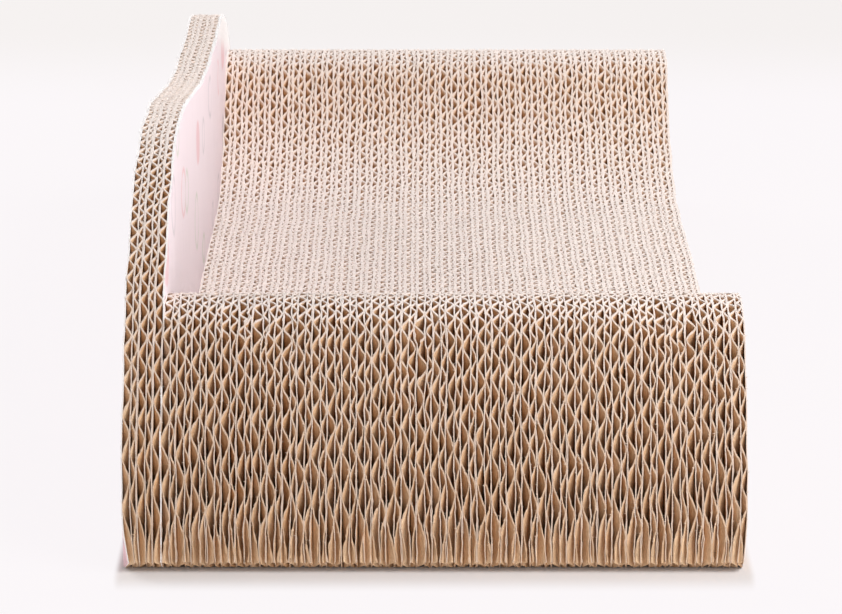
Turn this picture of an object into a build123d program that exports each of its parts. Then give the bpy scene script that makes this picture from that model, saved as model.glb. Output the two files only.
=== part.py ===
from build123d import *
import os
from math import acos, ceil, cos, degrees, radians, sin, sqrt

# Corrugated cardboard cat scratcher: a dipped lounge block of upright boards with a taller side backrest.
# X runs across the boards, Y along the lounge and Z up. The origin is at the middle of the footprint, on the floor.
# Lengths are in millimetres and angles in degrees.

# Papers and flutes of the corrugated board
liner = 0.3
medium = 0.25
c_flute_height = 3.35
c_flute_pitch = 7.8
b_flute_height = 2.35
b_flute_pitch = 6.55

# Outer flank of both arms: a small toe off the floor, a rounded foot and a broad round up to the crest
length = 579.0
toe_setback = 5.0
toe_height = 4.5
foot_radius = 60.0
foot_angle = 73.7
flank_radius = 251.0

# Lounge block: a rounded crest on each arm and a dip down to the level seat
seat_board_count = 39
seat_height = 45.3
arm_rise = 62.4
crest_radius = 27.5
inner_flank_angle = 49.1
dip_radius = 129.7

# Backrest: a high hump over the near arm that eases down to a level stretch before the far arm
level_height = 139.7
hump_rise = 22.4
hump_radius = 172.0
hump_fall_angle = 9.6
valley_radius = 371.0
shoulder_radius = 89.0

# Edges are cut in straight cuts that leave a true round by this much at most
cut_sag = 0.36

# How far a cutting shape reaches past what it cuts, and the share of a run that one round may take up
cut_overrun = 1.0
round_share = 0.97

double_wall = 3 * liner + c_flute_height + b_flute_height
single_wall = 2 * liner + c_flute_height
seat_width = seat_board_count * double_wall
backrest_thickness = 2 * double_wall + single_wall
left_face = -(backrest_thickness + seat_width) / 2
seat_left = left_face + backrest_thickness
half_length = length / 2
arm_height = seat_height + arm_rise
hump_height = level_height + hump_rise
flank_foot_height = toe_height + foot_radius * cos(radians(foot_angle))


def round_drop(radius, angle):
    """Height that a round takes up between the level and a slope of that angle."""
    return radius * (1 - cos(radians(angle)))


def fitted_radius(radius, drop, angle):
    """Radius of a round from the level to a slope, drawn in where it would use up the drop that it has."""
    return min(radius, round_share * drop / round_drop(1, angle))


def rising_edge(top, radius, over_angle):
    """Foot, flank and top round of the near end; the round goes on over its top to a falling slope."""
    top_radius = min(fitted_radius(radius, top - flank_foot_height, foot_angle), round_share * flank_radius)
    top_centre_rise = top - top_radius - flank_foot_height + flank_radius * cos(radians(foot_angle))
    flank_end_angle = degrees(acos(top_centre_rise / (flank_radius - top_radius)))
    foot = JernArc((-half_length, toe_height), (0, 1), foot_radius, foot_angle - 90)
    flank = JernArc(foot @ 1, foot % 1, flank_radius, flank_end_angle - foot_angle)
    top_round = JernArc(flank @ 1, flank % 1, top_radius, -flank_end_angle - over_angle)
    return [foot, flank, top_round]


def falling_edge(start, floor_height, radius, angle):
    """Straight slope down from the end of a top round, and the hollow round that ends it on the level below."""
    hollow_radius = fitted_radius(radius, (start @ 1).Y - floor_height, angle)
    slope_drop = (start @ 1).Y - floor_height - round_drop(hollow_radius, angle)
    slope = PolarLine(start @ 1, slope_drop / sin(radians(angle)), direction=start % 1)
    hollow = JernArc(slope @ 1, slope % 1, hollow_radius, angle)
    return [slope, hollow]


def straight_cuts(runs):
    """Corners of an edge whose rounds are cut in short straight cuts."""
    corners = [runs[0] @ 0]
    for run in runs:
        cuts = 1
        if run.geom_type == GeomType.CIRCLE:
            cuts = ceil(run.length / sqrt(8 * cut_sag * run.radius))
        corners += [run @ (cut / cuts) for cut in range(1, cuts + 1)]
    return corners


def mirrored(corners):
    """The same corners at the far end, in the order that continues the outline."""
    return [Vector(-corner.X, corner.Y) for corner in reversed(corners)]


# Edge of the near arm, from the toe over the crest to the level seat
with BuildLine() as arm_edge:
    arm_runs = rising_edge(arm_height, crest_radius, inner_flank_angle)
    arm_runs += falling_edge(arm_runs[-1], seat_height, dip_radius, inner_flank_angle)
arm_corners = straight_cuts(arm_runs)

# Edges of the backrest: over the hump to the level stretch, and up to the shoulder that ends the stretch
with BuildLine() as hump_edge:
    hump_runs = rising_edge(hump_height, hump_radius, hump_fall_angle)
    hump_runs += falling_edge(hump_runs[-1], level_height, valley_radius, hump_fall_angle)
with BuildLine() as shoulder_edge:
    shoulder_runs = rising_edge(level_height, shoulder_radius, 0)

toe = Vector(-half_length + toe_setback, 0)

with BuildSketch(Plane.YZ) as seat_outline:
    with BuildLine():
        Polyline(toe, *arm_corners, *mirrored([toe, *arm_corners]), close=True)
    make_face()

with BuildSketch(Plane.YZ) as backrest_outline:
    with BuildLine():
        Polyline(toe, *straight_cuts(hump_runs), *mirrored([toe, *straight_cuts(shoulder_runs)]), close=True)
    make_face()


def flat_sheet(outline, face, thickness):
    """A board or a paper cut to an outline, from its left face towards +X."""
    with BuildPart() as sheet:
        with BuildSketch(Plane.YZ.offset(face)):
            add(outline.sketch_local)
        extrude(amount=thickness)
    return sheet.part


def fluted_medium(face, flute_height, flute_pitch):
    """A zigzag paper whose upright flutes touch the liners on both sides, cut to the backrest's outline."""
    half_flutes = round(2 * length / flute_pitch)
    half_pitch = length / half_flutes
    depth = flute_height - medium
    left_side = [(face + depth * (i % 2), half_pitch * i - half_length) for i in range(half_flutes + 1)]
    right_side = [(x + medium, y) for x, y in reversed(left_side)]
    with BuildPart() as zigzag:
        with BuildSketch(Plane.XY):
            with BuildLine():
                Polyline(*left_side, *right_side, close=True)
            make_face()
        extrude(amount=hump_height + cut_overrun)
        with BuildSketch(Plane.YZ.offset(face - cut_overrun)):
            add(backrest_outline.sketch_local)
        extrude(amount=flute_height + 2 * cut_overrun, mode=Mode.INTERSECT)
    return zigzag.part


def write_node(piece, name):
    """Labels a finished piece and writes it as one node."""
    piece.label = name
    export_step(piece, f"parts/{name}.step")


os.makedirs("parts", exist_ok=True)

# Seat boards, glued face to face from the backrest outwards
for number in range(seat_board_count):
    board = flat_sheet(seat_outline, seat_left + number * double_wall, double_wall)
    write_node(board, f"seat_board_{number + 1:02d}")

# Papers of the three backrest boards, from the outside to the seat: two double-wall boards and a single-wall one
c_flute = (c_flute_height, c_flute_pitch)
b_flute = (b_flute_height, b_flute_pitch)
backrest_plies = {
    "outer_printed_liner": None,
    "outer_c_medium": c_flute,
    "outer_middle_liner": None,
    "outer_b_medium": b_flute,
    "outer_plain_liner": None,
    "core_left_liner": None,
    "core_c_medium": c_flute,
    "core_middle_liner": None,
    "core_b_medium": b_flute,
    "core_right_liner": None,
    "inner_plain_liner": None,
    "inner_c_medium": c_flute,
    "inner_printed_liner": None,
}
ply_face = left_face
for ply_name, flute in backrest_plies.items():
    if flute:
        thickness = flute[0]
        ply = fluted_medium(ply_face, *flute)
    else:
        thickness = liner
        ply = flat_sheet(backrest_outline, ply_face, thickness)
    write_node(ply, f"backrest_{ply_name}")
    ply_face += thickness
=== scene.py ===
"""Looks of a cardboard cat scratcher: a seat of corrugated boards on edge, beside a printed backrest.

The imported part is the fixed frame. Each board in it is built again here as the papers that it is glued
from, flat liners and fluted mediums, cut to the outline of the board that they stand for. Lengths are in
metres unless a name says otherwise.
"""

import logging
import math
from dataclasses import dataclass
from enum import Enum, IntEnum
from functools import partial, partialmethod, reduce
from typing import Any, Sequence

import bpy
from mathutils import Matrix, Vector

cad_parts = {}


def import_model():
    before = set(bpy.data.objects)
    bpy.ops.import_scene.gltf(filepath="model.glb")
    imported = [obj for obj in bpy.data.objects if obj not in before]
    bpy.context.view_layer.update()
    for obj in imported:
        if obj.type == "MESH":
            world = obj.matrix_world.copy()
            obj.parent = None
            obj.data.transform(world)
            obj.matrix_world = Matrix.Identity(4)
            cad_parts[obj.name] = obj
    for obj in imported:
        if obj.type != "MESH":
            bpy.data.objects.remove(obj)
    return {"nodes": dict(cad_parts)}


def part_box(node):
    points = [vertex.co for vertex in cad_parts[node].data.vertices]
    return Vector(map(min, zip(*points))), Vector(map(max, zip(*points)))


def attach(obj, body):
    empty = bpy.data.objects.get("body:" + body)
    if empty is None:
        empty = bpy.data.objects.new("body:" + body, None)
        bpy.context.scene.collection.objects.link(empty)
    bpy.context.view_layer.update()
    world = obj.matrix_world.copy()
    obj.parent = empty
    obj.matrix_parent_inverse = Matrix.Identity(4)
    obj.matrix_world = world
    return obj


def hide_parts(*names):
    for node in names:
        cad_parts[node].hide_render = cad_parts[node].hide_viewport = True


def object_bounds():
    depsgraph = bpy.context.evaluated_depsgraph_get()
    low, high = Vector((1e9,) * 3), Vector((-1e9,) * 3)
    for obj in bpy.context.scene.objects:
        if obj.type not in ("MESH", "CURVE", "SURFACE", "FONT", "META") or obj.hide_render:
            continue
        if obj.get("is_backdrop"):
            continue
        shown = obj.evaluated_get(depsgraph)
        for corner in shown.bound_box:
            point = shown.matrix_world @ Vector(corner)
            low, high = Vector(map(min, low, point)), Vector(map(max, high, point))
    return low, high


LOG = logging.getLogger("cat_scratcher")
MM = 0.001
BODY = "root"
Colour = tuple[float, float, float, float]
Material = bpy.types.Material
Node = bpy.types.Node
Object = bpy.types.Object
Socket = bpy.types.NodeSocket
Tree = bpy.types.NodeTree
Number = Socket | float
Sockets = Sequence[tuple[str, str]]
Waves = tuple[tuple[float, float, float], ...]

# Poked cells on the crest of the near arm and on the far slope, as places across and along the seat
DENTS_MM = (
    (-4.0, -248.0), (-8.0, -256.0), (-79.0, -246.0), (-68.0, -249.0), (-88.0, -243.0),
    (98.0, -243.0), (112.0, -249.0), (-74.0, 205.0), (24.0, 195.0), (101.0, 207.0), (-16.0, 216.0),
)


class Slot(Enum):
    """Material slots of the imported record."""

    BOARD = "corrugated_board"
    KRAFT = "kraft_paper"
    PRINT = "printed_paper"


class Flute(Enum):
    """The two flute sizes of the boards."""

    WIDE = "c"
    NARROW = "b"


class Row(IntEnum):
    """Rows of the grid that is wrapped round a paper; the last one closes the underside on the first."""

    LEFT_FOOT = 0
    LEFT_SHOULDER = 1
    LEFT_TOP = 2
    RIGHT_TOP = 3
    RIGHT_SHOULDER = 4
    RIGHT_FOOT = 5
    SEAM = 6


def paint(red: int, green: int, blue: int) -> Colour:
    """Turn a colour as a screen shows it into a linear one.

    Args:
        red: Red, from 0 to 255.
        green: Green, from 0 to 255.
        blue: Blue, from 0 to 255.

    Returns:
        The linear colour with full alpha.
    """
    shares = (channel / 255 for channel in (red, green, blue))
    linear = (s / 12.92 if s <= 0.04045 else ((s + 0.055) / 1.055) ** 2.4 for s in shares)
    return (*linear, 1.0)


def spaced(values: dict[str, Any]) -> dict[str, Any]:
    """Put spaces for the underscores in the names of values."""
    return {name.replace("_", " "): value for name, value in values.items()}


def named(kind: str, *names: str) -> list[tuple[str, str]]:
    """Pair the name of each socket with the sockets' kind."""
    return [(name, kind) for name in names]


@dataclass(frozen=True)
class Swing:
    """A smooth random swing along a cut edge: the length of one swing, and its own channel of the noise."""

    grain: float
    channel: int


class Wiring:
    """Short hand for adding and linking the nodes of one tree."""

    seed_stride = 7.31
    channel_stride = 31.7
    noise_span = 2.6

    def __init__(self, tree: Tree) -> None:
        """Keep the tree that the nodes go into."""
        self.tree = tree
        self.entry: Node | None = None

    @classmethod
    def group(cls, name: str, kind: str, inputs: Sockets, outputs: Sockets) -> "Wiring":
        """Make a node group with named sockets.

        Args:
            name: Name of the group.
            kind: Kind of the tree, for geometry or for shading.
            inputs: Name and socket kind of each input.
            outputs: Name and socket kind of each output.

        Returns:
            The wiring of the new group, with its entry node in place.
        """
        tree = bpy.data.node_groups.new(name, kind)
        for in_out, ends in (("INPUT", inputs), ("OUTPUT", outputs)):
            for label, socket in ends:
                tree.interface.new_socket(name=label, in_out=in_out, socket_type=f"NodeSocket{socket}")
        wiring = cls(tree)
        wiring.entry = tree.nodes.new("NodeGroupInput")
        return wiring

    def given(self, name: str) -> Socket:
        """Return the group's input of that name."""
        return self.entry.outputs[name]

    def leave(self, **results: Any) -> None:
        """Link results to the group's outputs, whose names have spaces for underscores."""
        self.add("NodeGroupOutput", spaced(results))

    def feed(self, socket: Socket, value: Any) -> None:
        """Link a socket to another, or set it to a plain value.

        Args:
            socket: The input to feed.
            value: The socket to link it to, or the value to set.
        """
        if isinstance(value, Socket):
            self.tree.links.new(value, socket)
        else:
            socket.default_value = value

    def add(self, kind: str, feeds: dict[str | int, Any] | None = None, **settings: Any) -> Node:
        """Add a node.

        Args:
            kind: Type name of the node.
            feeds: Value or socket for each input, by the input's name or number.
            settings: Properties of the node.

        Returns:
            The new node.
        """
        node = self.tree.nodes.new(kind)
        for name, value in settings.items():
            setattr(node, name, value)
        for key, value in (feeds or {}).items():
            self.feed(node.inputs[key], value)
        return node

    def call(self, tree: Tree, **feeds: Any) -> Node:
        """Place a node group and feed its inputs, whose names have spaces for underscores."""
        return self.add(tree.bl_idname.replace("Tree", "Group"), spaced(feeds), node_tree=tree)

    def calc(self, operation: str, *values: Number, clamp: bool = False) -> Socket:
        """Work out a number from one, two or three others."""
        node = self.add("ShaderNodeMath", dict(enumerate(values)), operation=operation, use_clamp=clamp)
        return node.outputs[0]

    absolute = partialmethod(calc, "ABSOLUTE")
    above = partialmethod(calc, "GREATER_THAN")
    below = partialmethod(calc, "LESS_THAN")
    gain = partialmethod(calc, "MULTIPLY_ADD")
    larger = partialmethod(calc, "MAXIMUM")
    minus = partialmethod(calc, "SUBTRACT")
    over = partialmethod(calc, "DIVIDE")
    power = partialmethod(calc, "POWER")
    root = partialmethod(calc, "SQRT")
    smaller = partialmethod(calc, "MINIMUM")

    def total(self, *values: Number) -> Number:
        """Add up several numbers."""
        return reduce(partial(self.calc, "ADD"), values)

    def product(self, *values: Number) -> Number:
        """Multiply several numbers."""
        return reduce(partial(self.calc, "MULTIPLY"), values)

    def fade(self, value: Number, reach: Number) -> Socket:
        """Go evenly from 1 at nothing down to 0 at a reach."""
        return self.minus(1, self.over(value, reach), clamp=True)

    def blend(self, share: Number, low: Number, high: Number) -> Socket:
        """Go from one number to another by a share."""
        return self.add("ShaderNodeMix", {0: share, 2: low, 3: high}, data_type="FLOAT").outputs[0]

    def ease(self, value: Number, start: float, end: float) -> Socket:
        """Go softly from 0 at the start to 1 at the end."""
        span = {0: value, 1: start, 2: end}
        return self.add("ShaderNodeMapRange", span, interpolation_type="SMOOTHSTEP").outputs[0]

    def mixed(self, share: Number, low: Socket | Colour, high: Socket | Colour) -> Socket:
        """Go from one colour to another by a share."""
        return self.add("ShaderNodeMix", {0: share, 6: low, 7: high}, data_type="RGBA").outputs[2]

    def vector(self, x: Number, y: Number, z: Number) -> Socket:
        """Join three numbers into a vector."""
        return self.add("ShaderNodeCombineXYZ", {0: x, 1: y, 2: z}).outputs[0]

    def split(self, vector: Socket) -> tuple[Socket, ...]:
        """Return the three numbers of a vector."""
        return tuple(self.add("ShaderNodeSeparateXYZ", {0: vector}).outputs)

    def noise(self, spot: Socket) -> Socket:
        """Read smooth noise, from 0 to 1, at a place."""
        return self.add("ShaderNodeTexNoise", {"Vector": spot, "Scale": 1.0, "Detail": 1.0}).outputs[0]

    def unrest(self, place: tuple[Number, Number], swing: Swing, seed: Number) -> Socket:
        """Swing smoothly and at random along a cut edge.

        Args:
            place: Place along the board and height above the floor.
            swing: Length of one swing, and its channel of the noise.
            seed: Number that sets one paper apart from the next.

        Returns:
            A number that swings about zero, mostly within one either way.
        """
        along, up = (self.over(part, swing.grain) for part in place)
        between = self.gain(seed, self.seed_stride, swing.channel * self.channel_stride)
        return self.gain(self.noise(self.vector(along, between, up)), self.noise_span, -self.noise_span / 2)


@dataclass(frozen=True)
class PaperSizes:
    """Thicknesses and flutes of the papers, and how finely they are modelled."""

    liner: float = 0.30 * MM
    medium: float = 0.25 * MM
    face_sheet: float = 0.18 * MM
    middle_sheet: float = 0.24 * MM
    fluted_sheet: float = 0.21 * MM
    printed_sheet: float = 0.4 * MM
    wide_height: float = 3.35 * MM
    wide_pitch: float = 7.80 * MM
    narrow_height: float = 2.35 * MM
    narrow_pitch: float = 6.55 * MM
    flute_sharpness: float = 0.55
    wander: Swing = Swing(55 * MM, 1)
    wander_turns: float = 0.22
    liner_step: float = 1.5 * MM
    flute_samples: int = 10

    @property
    def board(self) -> float:
        """Thickness of one double-wall board."""
        return 3 * self.liner + self.wide_height + self.narrow_height

    def room(self, flute: Flute | None) -> float:
        """Thickness that a paper takes up in a board."""
        return {None: self.liner, Flute.WIDE: self.wide_height, Flute.NARROW: self.narrow_height}[flute]

    def sheet(self, flute: Flute | None) -> float:
        """Thickness of a paper inside a board."""
        return self.middle_sheet if flute is None else self.fluted_sheet

    def wave(self, flute: Flute | None) -> float:
        """Height of a paper's wave, which is nothing on a liner."""
        return 0.0 if flute is None else self.room(flute) - self.medium

    def pitch(self, flute: Flute | None) -> float:
        """Length of one flute along the board, or a plain 1 on a liner, whose wave has no height."""
        return {None: 1.0, Flute.WIDE: self.wide_pitch, Flute.NARROW: self.narrow_pitch}[flute]

    def step(self, flute: Flute | None) -> float:
        """Mean distance between the columns of a paper's grid."""
        return self.liner_step if flute is None else self.pitch(flute) / self.flute_samples


@dataclass(frozen=True)
class CutSizes:
    """What the saw and the wear did to the cut edges; the pale sawn band reaches further down where the cut
    is level, which is partly a painted highlight.
    """

    inset: float = 0.02 * MM
    level_curve: float = 1.6
    burr: float = 0.2 * MM
    level_burr: float = 0.45 * MM
    worn_liner_burr: float = 0.95 * MM
    swell: Swing = Swing(1.4 * MM, 5)
    swell_swing: float = 0.6
    swell_mean: float = 0.8
    ragged: float = 0.5 * MM
    fray: Swing = Swing(1.3 * MM, 6)
    long_fray: Swing = Swing(6 * MM, 7)
    long_fray_share: float = 0.7
    fray_upright_limit: float = 0.35
    low_fray: Swing = Swing(3 * MM, 8)
    fuzz: float = 0.3 * MM
    # Extra height of the pale sawn band on level cuts: partly real fuzz, partly a painted highlight for the
    # light from above.
    level_fuzz_and_highlight: float = 1.4 * MM
    slope_fuzz: float = 2.0 * MM
    fresh_share: float = 0.6
    worn_from: float = 110.0 * MM
    worn_over: float = 60.0 * MM
    tone: Swing = Swing(1.0, 9)
    tone_stride: float = 3.7
    fibre_length: float = 0.8 * MM
    fibre_radius: float = 0.13 * MM
    fibre_sides: int = 3
    fibre_lean: tuple[float, float, float] = (0.7, 1.7, 0.5)
    fibre_scales: tuple[float, float] = (0.4, 1.5)
    fibres_per_square_metre: float = 1150000.0


@dataclass(frozen=True)
class BendSizes:
    """How far the papers stray, are poked aside and are pressed in at the lower front corners."""

    sway: Swing = Swing(8 * MM, 2)
    flutter: Swing = Swing(2.2 * MM, 3)
    flutter_share: float = 0.6
    splay: Swing = Swing(3.5 * MM, 4)
    splay_share: float = 1.8
    foot_share: float = 0.3
    # Height of the crumpled foot; over the same height the paper colour is painted lighter towards the floor,
    # a painted bounce light from the floor.
    crumple_and_floor_bounce_height: float = 30 * MM
    drift: float = 1.1 * MM
    drift_grain: float = 26 * MM
    skin: float = 0.4 * MM
    skin_share: float = 0.15
    inner_limit: float = 0.5 * MM
    dent_radius: float = 9.0 * MM
    dent_width: float = 3.0 * MM
    dent_push: float = 1.1 * MM
    dent_drop: float = 1.2 * MM
    dent_gain: float = 1.6
    dent_ease: float = 0.2
    press_across: float = 11.0 * MM
    press_curve: float = 1.3
    left_press: float = 3.7 * MM
    left_press_height: float = 36.0 * MM
    left_press_depth: float = 6.0 * MM
    right_press: float = 1.8 * MM
    right_press_height: float = 24.0 * MM
    right_press_depth: float = 18.0 * MM


def flute_wave(sizes: PaperSizes) -> Tree:
    """Build the group that gives a flute's sideways offset at a place along the board.

    Args:
        sizes: Sizes of the papers.

    Returns:
        The group.
    """
    inputs = named("Float", "Along", "Flute Height", "Flute Pitch", "Phase", "Seed")
    w = Wiring.group("flute_wave", "GeometryNodeTree", inputs, named("Float", "Offset"))
    along = w.given("Along")
    wander = w.product(w.unrest((along, 0.0), sizes.wander, w.given("Seed")), sizes.wander_turns)
    turns = w.total(w.over(along, w.given("Flute Pitch")), w.given("Phase"), wander)
    wave = w.calc("SINE", w.product(turns, math.tau))
    leg = w.calc("ARCSINE", w.product(wave, sizes.flute_sharpness))
    crest = w.over(leg, math.asin(sizes.flute_sharpness))
    w.leave(Offset=w.product(crest, w.given("Flute Height"), 0.5))
    return w.tree


class PaperSheet:
    """Geometry Nodes group that makes one closed paper, flat or fluted, cut to an outline.

    A grid is wrapped round the paper: its columns run from front to back, and its rows go up the left
    face, over the top cut, down the right face and under the bottom cut. The first and the last column
    close to a line. Limits halfway between two numbers tell rows and columns apart, and a smaller margin
    tells apart the strips of faces between them.
    """

    inputs = (
        *named("Object", "Outline", "Dents"),
        *named("Float", "Sample X", "Centre X", "Flute Height", "Flute Pitch", "Phase"),
        *named("Float", "Paper", "Bend", "Step", "Seed"),
        *named("Material", "Left Face", "Right Face", "Cut Edge"),
    )
    end_density = 0.2
    end_reach = 0.09
    ray_start = 1.0
    ray_length = 2.0
    slope_reach = 0.15 * MM
    weld = 0.001 * MM
    halfway = 0.5
    strip_margin = 0.25

    def __init__(self, sizes: PaperSizes, cut: CutSizes, bends: BendSizes, half_width: float) -> None:
        """Build the group.

        Args:
            sizes: Sizes of the papers.
            cut: Sizes of the cut edges.
            bends: Sizes of the bends and dents.
            half_width: Half the width of the whole object.
        """
        self.sizes = sizes
        self.cut = cut
        self.bends = bends
        self.half_width = half_width
        self.wave = flute_wave(sizes)
        self.w = Wiring.group("paper_sheet", "GeometryNodeTree", self.inputs, named("Geometry", "Geometry"))
        self.tree = self.w.tree
        self.outline = self._shape_of("Outline")
        self._lay_grid()
        self._read_cut()
        self._poke()
        x, y = self._plan()
        z = self._height(y)
        self._dress(self.w.vector(self._pressed(x, y, z), y, z))

    def _shape_of(self, name: str) -> Socket:
        """Return the geometry of the object that an input names."""
        feeds = {"Object": self.w.given(name)}
        return self.w.add("GeometryNodeObjectInfo", feeds, transform_space="RELATIVE").outputs["Geometry"]

    def _lay_grid(self) -> None:
        """Lay the grid, number its columns and rows, and tell the parts of the paper apart."""
        w = self.w
        box = w.add("GeometryNodeBoundBox", {0: self.outline})
        self.front = w.total(w.split(box.outputs["Min"])[1], self.cut.inset)
        self.back = w.minus(w.split(box.outputs["Max"])[1], self.cut.inset)
        length = w.minus(self.back, self.front)
        count = w.calc("ROUND", w.over(length, w.given("Step")))
        sides = {"Size X": 1.0, "Size Y": 1.0, "Vertices X": w.total(count, 2), "Vertices Y": len(Row)}
        self.grid = w.add("GeometryNodeMeshGrid", sides).outputs["Mesh"]
        across, round_it, _ = w.split(w.add("GeometryNodeInputPosition").outputs[0])
        self.last_column = w.total(count, 1)
        self.column = w.product(w.total(across, 0.5), self.last_column)
        self.row = w.product(w.total(round_it, 0.5), len(Row) - 1)
        share = w.over(w.minus(self.column, 1), w.minus(count, 1), clamp=True)
        self.along = w.gain(self._crowded(share), length, self.front)
        self.right = self._rows(Row.RIGHT_TOP, Row.RIGHT_FOOT)
        self.on_top = self._rows(Row.LEFT_TOP, Row.RIGHT_TOP)
        self.upper = self._rows(Row.LEFT_SHOULDER, Row.RIGHT_SHOULDER)
        self.at_cut = w.larger(self.on_top, self._ends(1 + self.halfway))

    def _rows(self, first: Row, last: Row) -> Socket:
        """Give 1 on the rows from the first to the last, and 0 elsewhere."""
        w = self.w
        return w.product(w.above(self.row, first - self.halfway), w.below(self.row, last + self.halfway))

    def _ends(self, width: float) -> Socket:
        """Give 1 on the columns that are within a width of either end of the grid, and 0 elsewhere."""
        w = self.w
        return w.larger(w.below(self.column, width), w.above(self.column, w.minus(self.last_column, width)))

    def _crowded(self, share: Socket) -> Socket:
        """Draw the columns of the grid together towards both ends, where the cut edge is steep.

        Args:
            share: Place of a column in an even row, from 0 to 1.

        Returns:
            The place of the column along the board, from 0 to 1.
        """
        w = self.w
        reach = self.end_reach
        pull = (1 - self.end_density) / (1 - 2 * reach * (1 - math.exp(-0.5 / reach)))
        nearer = w.smaller(share, w.minus(1, share))
        fade = w.minus(1, w.calc("EXPONENT", w.over(nearer, -reach)))
        eased = w.minus(w.product(nearer, pull + self.end_density), w.product(fade, pull * reach))
        return w.blend(w.above(share, 0.5), eased, w.minus(1, eased))

    def _cast(self, y: Socket, way: float) -> Node:
        """Find the outline by a ray.

        Args:
            y: Place along the board.
            way: Direction of the ray, -1 for down from above and 1 for up from below.

        Returns:
            The node that holds what the ray hits.
        """
        source = self.w.vector(self.w.given("Sample X"), y, -way * self.ray_start)
        feeds = {"Target Geometry": self.outline, "Source Position": source}
        feeds |= {"Ray Direction": (0.0, 0.0, way), "Ray Length": self.ray_length}
        return self.w.add("GeometryNodeRaycast", feeds)

    def _read_cut(self) -> None:
        """Find the height and the slope of the top cut, and how worn and how low it is there."""
        w, cut = self.w, self.cut
        hit = self._cast(self.along, -1.0)
        self.place = (self.along, w.split(hit.outputs["Hit Position"])[2])
        _, lean, rise = w.split(hit.outputs["Hit Normal"])
        self.upright = w.larger(rise, 0.0)
        self.forward = w.calc("MULTIPLY", lean, -1, clamp=True)
        self.flat = w.power(self.upright, cut.level_curve)
        behind = w.minus(w.minus(self.along, self.front), cut.worn_from)
        self.worn = w.over(behind, cut.worn_over, clamp=True)
        # 1 at the floor and 0 at the top of the crumpled foot; it bends the papers more there, and it paints
        # them lighter towards the floor as a painted bounce light.
        self.low = w.fade(self.place[1], self.bends.crumple_and_floor_bounce_height)

    def _unrest(self, swing: Swing) -> Socket:
        """Swing at random along this paper's cut edge."""
        return self.w.unrest(self.place, swing, self.w.given("Seed"))

    def _offset(self, shift: float) -> Socket:
        """Give the sideways offset of the flute a little further along.

        Args:
            shift: How much further along.

        Returns:
            The offset.
        """
        w = self.w
        flute = {name: w.given(name) for name in ("Flute Height", "Flute Pitch", "Phase", "Seed")}
        return w.call(self.wave, Along=w.total(self.along, shift), **flute).outputs[0]

    def _poke(self) -> None:
        """Find the paper's own place across, and how far a poked cell near it is crushed and pushed aside."""
        w, bends = self.w, self.bends
        spot = w.vector(w.given("Centre X"), self.along, 0)
        feeds = {0: self._shape_of("Dents"), "Source Position": spot}
        near = w.add("GeometryNodeProximity", feeds, target_element="POINTS")
        closeness = w.fade(near.outputs["Distance"], bends.dent_radius)
        self.crushed = w.calc("SMOOTH_MIN", w.product(closeness, bends.dent_gain), 1, bends.dent_ease)
        self.own = w.total(w.given("Centre X"), self._offset(0.0))
        aside = w.minus(self.own, w.split(near.outputs["Position"])[0])
        aside = w.larger(-1, w.smaller(1, w.over(aside, bends.dent_width)))
        self.poke = w.product(aside, self.crushed, bends.dent_push, self.upper)

    def _middle(self) -> Socket:
        """Work out where the paper's middle lies across the boards.

        Papers sway and flutter on their own, but stay inside the outermost liners, and neighbours drift
        together.

        Returns:
            The place of the middle.
        """
        w, bends = self.w, self.bends
        lift = w.blend(self.upper, bends.foot_share, 1.0)
        spot = w.vector(*(w.over(part, bends.drift_grain) for part in (w.given("Centre X"), *self.place)))
        drift = w.product(w.minus(w.noise(spot), 0.5), 2 * bends.drift, lift)
        bend = w.given("Bend")
        sway = w.product(self._unrest(bends.sway), w.product(bend, w.total(self.low, 1)), lift)
        flutter = w.product(self._unrest(bends.flutter), bend, bends.flutter_share, self.on_top)
        spread = w.product(bend, bends.splay_share)
        splay = w.product(self._unrest(bends.splay), spread, w.minus(1, self.upper))
        skin = w.above(w.absolute(w.given("Centre X")), self.half_width - bends.skin)
        swing = w.product(w.total(sway, flutter, splay), w.blend(skin, 1.0, bends.skin_share))
        limit = w.blend(skin, self.half_width - bends.inner_limit, self.half_width)
        kept_in = w.smaller(w.total(self.own, swing, self.poke), limit)
        return w.total(w.larger(kept_in, w.product(limit, -1)), drift)

    def _thickness(self) -> Socket:
        """Work out the thickness of the paper, which the saw has spread along the cut.

        Returns:
            The thickness.
        """
        w, cut = self.w, self.cut
        swell = w.gain(self._unrest(cut.swell), cut.swell_swing, cut.swell_mean)
        is_liner = w.below(w.given("Flute Height"), self.sizes.medium)
        worn_burr = w.product(self.worn, is_liner, self.upright, cut.worn_liner_burr)
        burr = w.total(w.product(self.flat, cut.level_burr), worn_burr, cut.burr)
        thick = w.gain(w.product(burr, self.at_cut), swell, w.given("Paper"))
        return w.product(thick, w.minus(1, self._ends(self.halfway)))

    def _plan(self) -> tuple[Socket, Socket]:
        """Work out each point's place across and along the boards.

        Returns:
            Both places.
        """
        w = self.w
        ahead, behind = self._offset(self.slope_reach), self._offset(-self.slope_reach)
        slope = w.over(w.minus(ahead, behind), 2 * self.slope_reach)
        hypotenuse = w.root(w.gain(slope, slope, 1))
        side = w.gain(self.right, 2, -1)
        step_out = w.over(w.product(side, self._thickness(), 0.5), hypotenuse)
        y = w.minus(self.along, w.product(step_out, slope))
        return w.total(self._middle(), step_out), w.smaller(w.larger(y, self.front), self.back)

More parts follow.
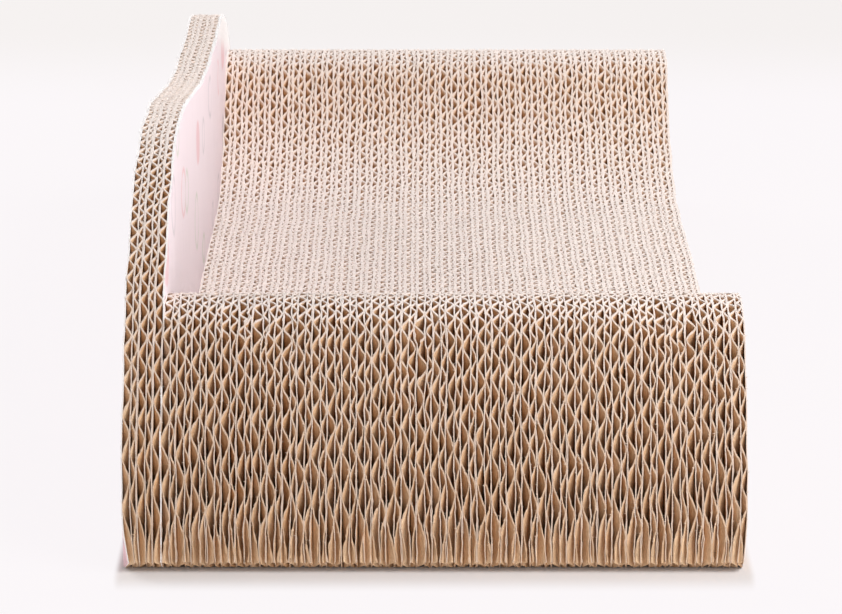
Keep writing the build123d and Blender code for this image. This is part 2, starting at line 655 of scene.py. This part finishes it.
    def _height(self, y: Socket) -> Socket:
        """Work out each point's height between the ragged bottom and top cuts.

        Args:
            y: Place along the boards.

        Returns:
            The height above the floor.
        """
        w, cut = self.w, self.cut
        top, bottom = (w.split(self._cast(y, way).outputs["Hit Position"])[2] for way in (-1.0, 1.0))
        fray = w.total(self._unrest(cut.fray), w.product(self._unrest(cut.long_fray), cut.long_fray_share))
        fray = w.over(w.product(fray, cut.ragged, 0.5), w.larger(self.upright, cut.fray_upright_limit))
        top = w.minus(w.total(top, fray), w.product(self.crushed, self.bends.dent_drop))
        bottom = w.gain(w.absolute(self._unrest(cut.low_fray)), cut.ragged, bottom)
        # On level cuts the pale sawn band reaches further down the faces: partly real fuzz, partly a painted
        # highlight for the light from above.
        fluff_and_highlight = w.product(self.flat, cut.level_fuzz_and_highlight, w.blend(self.worn, cut.fresh_share, 1.0))
        fuzz = w.total(fluff_and_highlight, w.product(self.worn, self.forward, cut.slope_fuzz), cut.fuzz)
        margin = w.smaller(fuzz, w.product(w.minus(top, bottom), 0.5))
        high = w.minus(top, w.product(margin, w.minus(1, self.on_top)))
        return w.blend(self.upper, bottom, high)

    def _pressed(self, x: Socket, y: Socket, z: Socket) -> Socket:
        """Press the lower front corners of the object inwards a little.

        Args:
            x: Place across the boards.
            y: Place along the boards.
            z: Height above the floor.

        Returns:
            The new place across the boards.
        """
        w, bends = self.w, self.bends
        on_right = w.above(x, 0)
        inwards = w.blend(on_right, bends.left_press, -bends.right_press)
        depth = w.blend(on_right, bends.left_press_depth, bends.right_press_depth)
        reach = w.blend(on_right, bends.left_press_height, bends.right_press_height)
        outer = w.fade(w.minus(self.half_width, w.absolute(x)), bends.press_across)
        low = w.power(w.fade(z, reach), bends.press_curve)
        fore = w.fade(w.minus(y, self.front), depth)
        return w.total(x, w.product(inwards, outer, low, fore))

    def _dress(self, position: Socket) -> None:
        """Store what the finishes read, set the materials and move the grid into its shape.

        Args:
            position: Place of each point of the paper.
        """
        w, row, margin = self.w, self.row, self.strip_margin
        top_strip = (Row.LEFT_TOP + Row.RIGHT_TOP) / 2
        over_top = w.below(w.absolute(w.minus(row, top_strip)), margin)
        under = w.above(row, Row.RIGHT_FOOT + margin)
        sawn = w.larger(w.larger(over_top, under), self._ends(self.halfway + margin))
        shade = w.unrest((0.0, 0.0), self.cut.tone, w.product(w.given("Seed"), self.cut.tone_stride))
        shape = self.grid
        # The stored tone is each sheet's random tone plus a painted bounce light that makes the paper lighter
        # towards the floor.
        for name, value in (("cut", self.at_cut), ("tone", w.total(shade, self.low)), ("flat", self.flat)):
            feeds = {"Geometry": shape, "Name": name, "Value": value}
            store = w.add("GeometryNodeStoreNamedAttribute", feeds, data_type="FLOAT", domain="POINT")
            shape = store.outputs[0]
        faces = {
            "Left Face": w.minus(1, self.right),
            "Right Face": w.above(row, Row.RIGHT_TOP - margin),
            "Cut Edge": sawn,
        }
        for name, selection in faces.items():
            feeds = {0: shape, "Selection": selection, "Material": w.given(name)}
            shape = w.add("GeometryNodeSetMaterial", feeds).outputs[0]
        smooth = w.add("GeometryNodeSetShadeSmooth", {0: shape, "Shade Smooth": w.minus(1, sawn)})
        placed = w.add("GeometryNodeSetPosition", {0: smooth.outputs[0], "Position": position})
        closed = w.add("GeometryNodeMergeByDistance", {0: placed.outputs[0], "Distance": self.weld})
        w.leave(Geometry=w.add("GeometryNodeFlipFaces", {0: closed.outputs[0]}).outputs[0])


class PaperTrees:
    """Geometry Nodes trees that make a whole board, and one paper by itself."""

    least_upward = 0.1
    nearly_cut = 0.99
    sample_share = 0.45

    def __init__(self, sizes: PaperSizes, half_width: float) -> None:
        """Build the trees.

        Args:
            sizes: Sizes of the papers.
            half_width: Half the width of the whole object.
        """
        self.sizes = sizes
        self.cut = CutSizes()
        self.sheet = PaperSheet(sizes, self.cut, BendSizes(), half_width).tree
        self.fibres = self._fibres()
        self.board = self._board()
        self.single = self._single()

    def _fibres(self) -> Tree:
        """Build the group that stands loose fibres on the upper cut edges of a paper.

        Returns:
            The group.
        """
        cut = self.cut
        inputs = [*named("Geometry", "Geometry"), *named("Float", "Seed")]
        w = Wiring.group("loose_fibres", "GeometryNodeTree", inputs, named("Geometry", "Fibres"))
        edge = w.add("GeometryNodeInputNamedAttribute", {"Name": "cut"}, data_type="FLOAT").outputs[0]
        upward = w.above(w.split(w.add("GeometryNodeInputNormal").outputs[0])[2], self.least_upward)
        feeds = {"Mesh": w.given("Geometry"), "Selection": w.product(w.above(edge, self.nearly_cut), upward)}
        feeds |= {"Density": cut.fibres_per_square_metre, "Seed": w.given("Seed")}
        points = w.add("GeometryNodeDistributePointsOnFaces", feeds).outputs["Points"]
        feeds = {"Radius Bottom": cut.fibre_radius, "Radius Top": 0.0, "Depth": cut.fibre_length}
        feeds |= {"Vertices": cut.fibre_sides}
        hair = w.add("GeometryNodeMeshCone", feeds, fill_type="NONE").outputs["Mesh"]
        leans = {0: tuple(-angle for angle in cut.fibre_lean), 1: cut.fibre_lean}
        turn = w.add("FunctionNodeRandomValue", leans, data_type="FLOAT_VECTOR").outputs[0]
        scales = {2: cut.fibre_scales[0], 3: cut.fibre_scales[1]}
        scale = w.add("FunctionNodeRandomValue", scales, data_type="FLOAT").outputs[1]
        feeds = {"Points": points, "Instance": hair, "Rotation": turn, "Scale": scale}
        w.leave(Fibres=w.add("GeometryNodeInstanceOnPoints", feeds).outputs[0])
        return w.tree

    def _finish(self, w: Wiring, papers: Sequence[Socket]) -> None:
        """Join papers and fibres, realize them and dress the fibres.

        Args:
            w: Wiring of the tree to finish.
            papers: The geometry of each paper.
        """
        join = w.add("GeometryNodeJoinGeometry")
        for paper in papers:
            w.feed(join.inputs[0], paper)
        fibres = w.call(self.fibres, Geometry=join.outputs[0], Seed=w.given("Seed")).outputs[0]
        mark = {"Geometry": fibres, "Name": "fibre", "Value": 1.0}
        marked = w.add("GeometryNodeStoreNamedAttribute", mark, data_type="FLOAT", domain="INSTANCE")
        both = w.add("GeometryNodeJoinGeometry")
        w.feed(both.inputs[0], join.outputs[0])
        w.feed(both.inputs[0], marked.outputs[0])
        real = w.add("GeometryNodeRealizeInstances", {0: both.outputs[0]}).outputs[0]
        fibre = w.add("GeometryNodeInputNamedAttribute", {"Name": "fibre"}, data_type="FLOAT").outputs[0]
        feeds = {0: real, "Selection": w.above(fibre, 0.5), "Material": w.given("Cut Edge")}
        w.leave(Geometry=w.add("GeometryNodeSetMaterial", feeds).outputs[0])

    def _board(self) -> Tree:
        """Build the tree of one double-wall board: liner, wide flutes, liner, narrow flutes, liner.

        Returns:
            The tree.
        """
        sizes = self.sizes
        inputs = [
            *named("Object", "Outline", "Dents"),
            *named("Float", "Left X", "Wide Phase", "Narrow Phase", "Bend", "Seed"),
            *named("Material", "Paper Face", "Flute Edge", "Cut Edge"),
        ]
        w = Wiring.group("double_wall_board", "GeometryNodeTree", inputs, named("Geometry", "Geometry"))
        w.tree.is_modifier = True
        phases = {None: 0.0, Flute.WIDE: w.given("Wide Phase"), Flute.NARROW: w.given("Narrow Phase")}
        plies = (None, Flute.WIDE, None, Flute.NARROW, None)
        outwards = {0: -1, len(plies) - 1: 1}
        papers = []
        place = 0.0
        for number, flute in enumerate(plies):
            room = sizes.room(flute)
            sheet = sizes.face_sheet if number in outwards else sizes.sheet(flute)
            middle = place + room / 2 + outwards.get(number, 0) * (room - sheet) / 2
            paper = w.call(
                self.sheet,
                Outline=w.given("Outline"),
                Dents=w.given("Dents"),
                Sample_X=w.total(w.given("Left X"), self.sample_share * sizes.board),
                Centre_X=w.total(w.given("Left X"), middle),
                Flute_Height=sizes.wave(flute),
                Flute_Pitch=sizes.pitch(flute),
                Phase=phases[flute],
                Paper=sheet,
                Bend=w.given("Bend"),
                Step=sizes.step(flute),
                Seed=w.gain(w.given("Seed"), len(plies), number),
                Left_Face=w.given("Paper Face"),
                Right_Face=w.given("Paper Face"),
                Cut_Edge=w.given("Cut Edge" if flute is None else "Flute Edge"),
            )
            papers.append(paper.outputs[0])
            place += room
        self._finish(w, papers)
        return w.tree

    def _single(self) -> Tree:
        """Build the tree of one paper by itself.

        Returns:
            The tree.
        """
        inputs = PaperSheet.inputs
        w = Wiring.group("single_paper", "GeometryNodeTree", inputs, named("Geometry", "Geometry"))
        w.tree.is_modifier = True
        paper = w.call(self.sheet, **{name: w.given(name) for name, _ in inputs})
        self._finish(w, [paper.outputs[0]])
        return w.tree


def grow(name: str, tree: Tree, **values: Any) -> Object:
    """Run a tree and keep its result as a plain mesh.

    Args:
        name: Name of the new piece.
        tree: Geometry Nodes tree to run.
        values: Value of each input, whose name has spaces for underscores.

    Returns:
        The piece, at the origin, with no modifier left on it.
    """
    piece = bpy.data.objects.new(name, bpy.data.meshes.new(name))
    bpy.context.scene.collection.objects.link(piece)
    modifier = piece.modifiers.new("papers", "NODES")
    modifier.node_group = tree
    wanted = spaced(values)
    for item in tree.interface.items_tree:
        if item.item_type == "SOCKET" and item.in_out == "INPUT":
            modifier[item.identifier] = wanted[item.name]
    graph = bpy.context.evaluated_depsgraph_get()
    mesh = bpy.data.meshes.new_from_object(piece.evaluated_get(graph))
    piece.modifiers.remove(modifier)
    blank = piece.data
    piece.data = mesh
    bpy.data.meshes.remove(blank)
    mesh.name = name
    return piece


class PaperGrain:
    """Shader group with the mottle, the fine fibres and the sawn band that all the papers show."""

    upright_stretch = 0.35
    mottle_detail = 3.0
    fibre_detail = 2.0

    def __init__(self) -> None:
        """Build the group."""
        inputs = named("Float", "Mottle Size", "Fibre Size")
        outputs = named("Float", "Mottle", "Fibre", "Cut", "Tone", "Flat")
        w = Wiring.group("paper_grain", "ShaderNodeTree", inputs, outputs)
        place = w.add("ShaderNodeTexCoord").outputs["Object"]
        stretch = {"Vector": place, "Scale": (1.0, 1.0, self.upright_stretch)}
        drawn_out = w.add("ShaderNodeMapping", stretch).outputs[0]
        feeds = {"Vector": place, "Scale": w.over(1, w.given("Mottle Size")), "Detail": self.mottle_detail}
        cloud = w.add("ShaderNodeTexNoise", feeds).outputs[0]
        feeds = {"Vector": drawn_out, "Scale": w.over(1, w.given("Fibre Size")), "Detail": self.fibre_detail}
        fine = w.add("ShaderNodeTexNoise", feeds).outputs[0]
        stored = {}
        for name in ("cut", "tone", "flat"):
            stored[name.title()] = w.add("ShaderNodeAttribute", attribute_name=name).outputs["Fac"]
        w.leave(Mottle=cloud, Fibre=fine, **stored)
        self.tree = w.tree


def blank_material(name: str) -> tuple[Material, Wiring, Node]:
    """Make a material with nothing but its main shader.

    Args:
        name: Name of the material.

    Returns:
        The material, its wiring and its Principled BSDF.
    """
    material = bpy.data.materials.new(name)
    material.use_nodes = True
    return material, Wiring(material.node_tree), material.node_tree.nodes["Principled BSDF"]


@dataclass(frozen=True)
class KraftFinish:
    """Brown paper with mottle, fibres and a paler sawn band, which is whitest where the cut is level; that
    extra whiteness is partly the real pale fuzz of the cut and partly a painted highlight for the light from
    above.
    """

    name: str
    light: Colour
    dark: Colour
    steep_edge: Colour
    # Edge colour where the cut is level: partly the real pale fuzz, partly a painted highlight for the light
    # from above.
    level_edge_highlight: Colour
    mottle_size: float = 9 * MM
    fibre_size: float = 0.5 * MM
    mottle_share: float = 0.25
    fibre_share: float = 0.5
    # Share of the stored tone, which holds each sheet's random tone and the painted bounce light near the
    # floor.
    tone_and_floor_bounce_share: float = 0.3
    contrast: float = 1.8
    contrast_start: float = -0.18
    fray_gain: float = 1.2
    fray_start: float = 0.4
    roughness: float = 0.92
    specular: float = 0.02
    bump: float = 0.25
    bump_depth: float = 0.1 * MM

    def material(self, grain: PaperGrain) -> Material:
        """Build the material.

        Args:
            grain: The shared paper grain.

        Returns:
            The finished material.
        """
        material, w, shader = blank_material(self.name)
        paper = w.call(grain.tree, Mottle_Size=self.mottle_size, Fibre_Size=self.fibre_size).outputs
        # The tone part also lightens the paper near the floor: painted bounce light.
        parts = {"Mottle": self.mottle_share, "Fibre": self.fibre_share, "Tone": self.tone_and_floor_bounce_share}
        spread = w.total(*(w.product(paper[name], share) for name, share in parts.items()))
        lightness = w.gain(spread, self.contrast, self.contrast_start, clamp=True)
        brown = w.mixed(lightness, self.dark, self.light)
        # Painted highlight: the sawn band turns paler as the cut faces up, standing in for the light from
        # above, on top of the real pale fuzz.
        edge = w.mixed(paper["Flat"], self.steep_edge, self.level_edge_highlight)
        frayed = w.gain(paper["Fibre"], self.fray_gain, self.fray_start, clamp=True)
        w.feed(shader.inputs["Base Color"], w.mixed(w.product(paper["Cut"], frayed), brown, edge))
        shader.inputs["Roughness"].default_value = self.roughness
        shader.inputs["Specular IOR Level"].default_value = self.specular
        relief = {"Height": paper["Fibre"], "Strength": self.bump, "Distance": self.bump_depth}
        w.feed(shader.inputs["Normal"], w.add("ShaderNodeBump", relief).outputs[0])
        return material


@dataclass(frozen=True)
class PrintFinish:
    """Pale coated paper with a loose scatter of dots and rings, which runs out at the far top corner."""

    name: str
    ground: Colour
    inks: tuple[Colour, Colour, Colour]
    bare: Colour
    mottle_size: float = 20 * MM
    fibre_size: float = 0.6 * MM
    cell: float = 50 * MM
    scatter: float = 0.8
    least_radius: float = 0.14
    radius_range: float = 0.18
    ring_width: float = 0.05
    disc_share: float = 0.4
    sharpness: float = 25.0
    ink_limits: tuple[float, float] = (0.36, 0.7)
    strength: float = 0.65
    wear: float = 0.12
    fade_lean: float = 0.33
    fade_from: float = 176 * MM
    fade_to: float = 190 * MM
    roughness: float = 0.5
    roughness_range: float = 0.12
    bump: float = 0.08
    bump_depth: float = 0.1 * MM

    def _rings(self, w: Wiring, along: Socket, up: Socket) -> tuple[Socket, Socket]:
        """Scatter dots and rings over the face.

        Args:
            w: Wiring of the material.
            along: Place along the board.
            up: Height above the floor.

        Returns:
            A mask of the dots and rings, and the colour of the ink at each of them.
        """
        feeds = {"Vector": w.vector(along, up, 0.0), "Scale": 1 / self.cell, "Randomness": self.scatter}
        dots = w.add("ShaderNodeTexVoronoi", feeds, voronoi_dimensions="2D").outputs
        pick, size, kind = w.split(dots["Color"])
        inside = w.minus(w.gain(size, self.radius_range, self.least_radius), dots["Distance"])
        disc = w.gain(inside, self.sharpness, 0.5, clamp=True)
        hole = w.gain(w.minus(inside, self.ring_width), self.sharpness, 0.5, clamp=True)
        ring = w.minus(disc, w.product(hole, w.above(kind, self.disc_share)))
        ink = w.mixed(w.above(pick, self.ink_limits[0]), self.inks[0], self.inks[1])
        return ring, w.mixed(w.above(pick, self.ink_limits[1]), ink, self.inks[2])

    def material(self, grain: PaperGrain) -> Material:
        """Build the material.

        Args:
            grain: The shared paper grain.

        Returns:
            The finished material.
        """
        material, w, shader = blank_material(self.name)
        paper = w.call(grain.tree, Mottle_Size=self.mottle_size, Fibre_Size=self.fibre_size).outputs
        _, along, up = w.split(w.add("ShaderNodeTexCoord").outputs["Object"])
        ring, ink = self._rings(w, along, up)
        wear = w.gain(paper["Mottle"], self.wear, -self.wear / 2, clamp=True)
        face = w.mixed(wear, self.ground, self.inks[1])
        printed = w.mixed(w.product(ring, self.strength), face, ink)
        fade = w.ease(w.gain(along, self.fade_lean, up), self.fade_from, self.fade_to)
        w.feed(shader.inputs["Base Color"], w.mixed(fade, printed, self.bare))
        w.feed(shader.inputs["Roughness"], w.gain(paper["Fibre"], self.roughness_range, self.roughness))
        relief = {"Height": paper["Fibre"], "Strength": self.bump, "Distance": self.bump_depth}
        w.feed(shader.inputs["Normal"], w.add("ShaderNodeBump", relief).outputs[0])
        return material


@dataclass
class Finishes:
    """All the finishes of the object."""

    kraft: Material
    pale_kraft: Material
    flute_cut: Material
    liner_cut: Material
    white_cut: Material
    inner_print: Material
    outer_print: Material

    @classmethod
    def make(cls) -> "Finishes":
        """Build every finish on one shared paper grain.

        Returns:
            The finishes.
        """
        grain = PaperGrain()
        # The whitest edge colour, used where the cut is level, is partly a painted highlight for the light
        # from above.
        tan, straw, level = paint(211, 176, 143), paint(218, 194, 175), paint(242, 232, 227)
        white, pink, lilac = paint(250, 247, 247), paint(253, 216, 223), paint(249, 235, 242)
        sage, grey, rose = paint(204, 214, 196), paint(208, 200, 207), paint(238, 190, 196)
        finishes = (
            KraftFinish("bare_kraft", paint(236, 205, 171), paint(184, 133, 86), tan, level),
            KraftFinish("pale_kraft", paint(245, 220, 190), paint(208, 160, 112), tan, level),
            KraftFinish("sawn_flute_edge", tan, paint(197, 159, 123), tan, level),
            KraftFinish("sawn_liner_edge", straw, paint(204, 176, 152), straw, level),
            KraftFinish("sawn_white_edge", white, paint(236, 230, 230), paint(240, 233, 230), white),
            PrintFinish("inner_print", lilac, (sage, grey, rose), white),
            PrintFinish("outer_print", pink, (sage, grey, paint(238, 176, 188)), pink),
        )
        return cls(*(finish.material(grain) for finish in finishes))


@dataclass
class Seat:
    """The seat: double-wall boards on edge, side by side.

    Neighbouring boards were sawn from nearby stock, so their flutes drift slowly from board to board. A
    drift is a sum of waves, each with its height in turns, its rate by board and its start.
    """

    trees: PaperTrees
    finishes: Finishes
    dents: Object
    prefix: str = "seat_board_"
    bend: float = 0.5 * MM
    wide_drift: Waves = ((1.9, 0.21, 0.6), (0.8, 0.53, 0.0), (0.17, 2.9, 0.0))
    narrow_drift: Waves = ((1.6, 0.19, 2.1), (0.7, 0.61, 1.0), (0.2, 3.3, 0.0))

    def phase(self, drift: Waves, number: int) -> float:
        """Place of one board's flutes, in turns, with the boards numbered from the backrest."""
        return sum(height * math.sin(rate * number + start) for height, rate, start in drift)

    def build(self, nodes: dict[str, Object]) -> list[Object]:
        """Build every seat board.

        Args:
            nodes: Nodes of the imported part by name.

        Returns:
            The pieces, one for each board.
        """
        pieces = []
        for number, name in enumerate(sorted(n for n in nodes if n.startswith(self.prefix)), start=1):
            piece = grow(
                f"{name}_papers",
                self.trees.board,
                Outline=nodes[name],
                Dents=self.dents,
                Left_X=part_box(name)[0].x,
                Wide_Phase=self.phase(self.wide_drift, number),
                Narrow_Phase=self.phase(self.narrow_drift, number),
                Bend=self.bend,
                Seed=float(number),
                Paper_Face=self.finishes.kraft,
                Flute_Edge=self.finishes.flute_cut,
                Cut_Edge=self.finishes.liner_cut,
            )
            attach(piece, BODY)
            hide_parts(name)
            pieces.append(piece)
        return pieces


@dataclass
class Backrest:
    """The backrest: two double-wall boards and one single-wall board, with a printed liner on each face."""

    sizes: PaperSizes
    trees: PaperTrees
    finishes: Finishes
    dents: Object
    outline: str = "backrest_outer_middle_liner"
    prefix: str = "backrest_"
    bend: float = 0.16 * MM
    slack: float = 0.15 * MM
    phase_step: float = 0.37
    first_seed: float = 300.0

    def edge(self, printed: bool, flute: Flute | None) -> Material:
        """Choose the finish of a paper's cut edge.

        Args:
            printed: Whether the paper is one of the printed liners.
            flute: Flute size of the paper, if it is fluted.

        Returns:
            The finish.
        """
        if printed:
            return self.finishes.white_cut
        return self.finishes.liner_cut if flute is None else self.finishes.flute_cut

    def build(self, nodes: dict[str, Object]) -> list[Object]:
        """Build every paper of the backrest.

        Args:
            nodes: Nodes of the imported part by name.

        Returns:
            The pieces, one for each paper.
        """
        sizes, finishes = self.sizes, self.finishes
        low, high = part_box(self.outline)
        pieces = []
        for number, name in enumerate(sorted(n for n in nodes if n.startswith(self.prefix))):
            flute = next((f for f in Flute if name.endswith(f"_{f.value}_medium")), None)
            left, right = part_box(name)
            printed = name.endswith("printed_liner")
            outside = printed and "outer" in name
            piece = grow(
                f"{name}_paper",
                self.trees.single,
                Outline=nodes[self.outline],
                Dents=self.dents,
                Sample_X=(low.x + high.x) / 2,
                Centre_X=(left.x + right.x) / 2,
                Flute_Height=max(sizes.wave(flute) - self.slack, 0.0),
                Flute_Pitch=sizes.pitch(flute),
                Phase=self.phase_step * number,
                Paper=sizes.printed_sheet if printed else sizes.sheet(flute),
                Bend=self.bend,
                Step=sizes.step(flute),
                Seed=self.first_seed + number,
                Left_Face=finishes.outer_print if outside else finishes.pale_kraft,
                Right_Face=finishes.inner_print if printed and not outside else finishes.pale_kraft,
                Cut_Edge=self.edge(printed, flute),
            )
            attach(piece, BODY)
            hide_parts(name)
            pieces.append(piece)
        return pieces


def dent_points(places_mm: Sequence[tuple[float, float]]) -> Object:
    """Make a helper that marks where the cells are crushed.

    Args:
        places_mm: Places across and along the seat, in millimetres.

    Returns:
        The helper object, which isn't in the scene.
    """
    mesh = bpy.data.meshes.new("dent_points")
    mesh.from_pydata([(x * MM, y * MM, 0.0) for x, y in places_mm], [], [])
    return bpy.data.objects.new("dent_points", mesh)


@dataclass(frozen=True)
class Softbox:
    """One soft square light that points at the middle of the floor; its power is in watts."""

    name: str
    power: float
    size: float
    place: tuple[float, float, float]

    def build(self) -> None:
        """Hang the light."""
        data = bpy.data.lights.new(self.name, "AREA")
        data.energy = self.power
        data.size = self.size
        lamp = bpy.data.objects.new(self.name, data)
        lamp.location = self.place
        lamp.rotation_mode = "QUATERNION"
        lamp.rotation_quaternion = (-lamp.location).to_track_quat("-Z", "Y")
        bpy.context.scene.collection.objects.link(lamp)


@dataclass(frozen=True)
class Studio:
    """Floor, light and camera."""

    focal_px: float = 3061.2
    frame_px: int = 842
    sensor_mm: float = 36.0
    pitch_deg: float = 18.622
    turn_deg: float = 0.026
    aside: float = -5.35 * MM
    ahead: float = 1238.8 * MM
    height: float = 540.5 * MM
    floor_half: float = 6.0
    floor_gap: float = 0.3 * MM
    floor_lift: float = 0.94
    floor_roughness: float = 0.9
    # Where the painted contact shadow band round the footprint gives way to the lifted floor, with a narrower
    # band at the sides.
    lift_start: float = 3 * MM
    lift_end: float = 22 * MM
    side_lift: float = 5.0
    far_start: float = 0.5
    far_end: float = 0.75
    near_tint: Colour = paint(253, 249, 251)
    far_tint: Colour = paint(247, 243, 242)
    # Floor colour that the camera sees close round the object, darker than the rest of the floor: a painted
    # contact shadow.
    painted_contact_shadow: Colour = paint(219, 214, 213)
    bounce: Colour = paint(244, 240, 238)
    fill: float = 0.30
    fill_colour: Colour = (1.0, 0.99, 0.98, 1.0)
    seen_sky: float = 0.95
    softboxes: tuple[Softbox, ...] = (
        Softbox("key", 24.2, 0.9, (1.08, -0.5, 1.25)),
        Softbox("front", 13.0, 1.2, (1.3, -1.5, 0.5)),
        Softbox("left", 38.0, 1.2, (-1.45, 1.3, 0.45)),
    )

    def camera(self, front: float) -> None:
        """Place the camera where the photograph was taken from.

        Args:
            front: Place of the object's front along the view.
        """
        data = bpy.data.cameras.new("camera")
        data.sensor_width = self.sensor_mm
        data.lens = self.focal_px * self.sensor_mm / self.frame_px
        camera = bpy.data.objects.new("camera", data)
        camera.location = (self.aside, front - self.ahead, self.height)
        camera.rotation_euler = (math.radians(90 - self.pitch_deg), 0.0, math.radians(self.turn_deg))
        bpy.context.scene.collection.objects.link(camera)
        bpy.context.scene.camera = camera

    def floor(self, half_width: float, half_length: float) -> None:
        """Lay a pale floor that takes the object's shadow.

        Args:
            half_width: Half the width of the object.
            half_length: Half the length of the object.
        """
        half = self.floor_half
        mesh = bpy.data.meshes.new("floor")
        corners = [(-half, -half), (half, -half), (half, half), (-half, half)]
        mesh.from_pydata([(x, y, -self.floor_gap) for x, y in corners], [], [(0, 1, 2, 3)])
        mesh.materials.append(self._floor_material(half_width, half_length))
        floor = bpy.data.objects.new("floor", mesh)
        bpy.context.scene.collection.objects.link(floor)
        floor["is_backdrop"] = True

    def _floor_material(self, half_width: float, half_length: float) -> Material:
        """Build the floor's finish, which is lifted towards plain white away from the object. Close round the
        object's footprint the camera sees a darker floor colour, which is a painted contact shadow.

        Only the camera sees the lift, so that it puts no light on the object.

        Args:
            half_width: Half the width of the object.
            half_length: Half the length of the object.

        Returns:
            The finished material.
        """
        material, w, shader = blank_material("pale_floor")
        seen = w.add("ShaderNodeLightPath").outputs["Is Camera Ray"]
        x, y, _ = w.split(w.add("ShaderNodeTexCoord").outputs["Object"])
        beside = w.product(w.larger(w.minus(w.absolute(x), half_width), 0), self.side_lift)
        beyond = w.larger(w.minus(w.absolute(y), half_length), 0)
        apart = w.root(w.total(w.power(beside, 2), w.power(beyond, 2)))
        lift = w.product(w.ease(apart, self.lift_start, self.lift_end), self.floor_lift, seen)
        black = (0.0, 0.0, 0.0, 1.0)
        # Near the footprint, where the lift is low, the camera sees the darker floor colour: a painted
        # contact shadow band.
        shown = w.mixed(lift, self.painted_contact_shadow, black)
        w.feed(shader.inputs["Base Color"], w.mixed(seen, self.bounce, shown))
        tint = w.mixed(w.ease(y, self.far_start, self.far_end), self.near_tint, self.far_tint)
        w.feed(shader.inputs["Emission Color"], tint)
        w.feed(shader.inputs["Emission Strength"], lift)
        shader.inputs["Roughness"].default_value = self.floor_roughness
        shader.inputs["Specular IOR Level"].default_value = 0.0
        return material

    def light(self) -> None:
        """Hang the soft lights, and set an even fill."""
        for softbox in self.softboxes:
            softbox.build()
        world = bpy.data.worlds.new("fill")
        world.use_nodes = True
        bpy.context.scene.world = world
        w = Wiring(world.node_tree)
        sky = world.node_tree.nodes["Background"]
        sky.inputs["Color"].default_value = self.fill_colour
        seen = w.add("ShaderNodeLightPath").outputs["Is Camera Ray"]
        w.feed(sky.inputs["Strength"], w.blend(seen, self.fill, self.seen_sky))


def main() -> None:
    """Build the object round its frame, then the stage."""
    logging.basicConfig(level=logging.INFO, format="%(message)s")
    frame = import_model()
    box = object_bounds()
    bpy.context.scene.view_settings.view_transform = "Standard"
    sizes = PaperSizes()
    trees = PaperTrees(sizes, box[1].x)
    finishes = Finishes.make()
    dents = dent_points(DENTS_MM)
    studio = Studio()
    studio.camera(box[0].y)
    studio.floor(box[1].x, box[1].y)
    studio.light()
    pieces = Seat(trees, finishes, dents).build(frame["nodes"])
    pieces += Backrest(sizes, trees, finishes, dents).build(frame["nodes"])
    bpy.data.objects.remove(dents)
    for piece in pieces:
        LOG.info("%s: %d faces", piece.name, len(piece.data.polygons))
    LOG.info("all pieces: %d triangles", sum(len(p.vertices) - 2 for o in pieces for p in o.data.polygons))


if __name__ == "__main__":
    main()
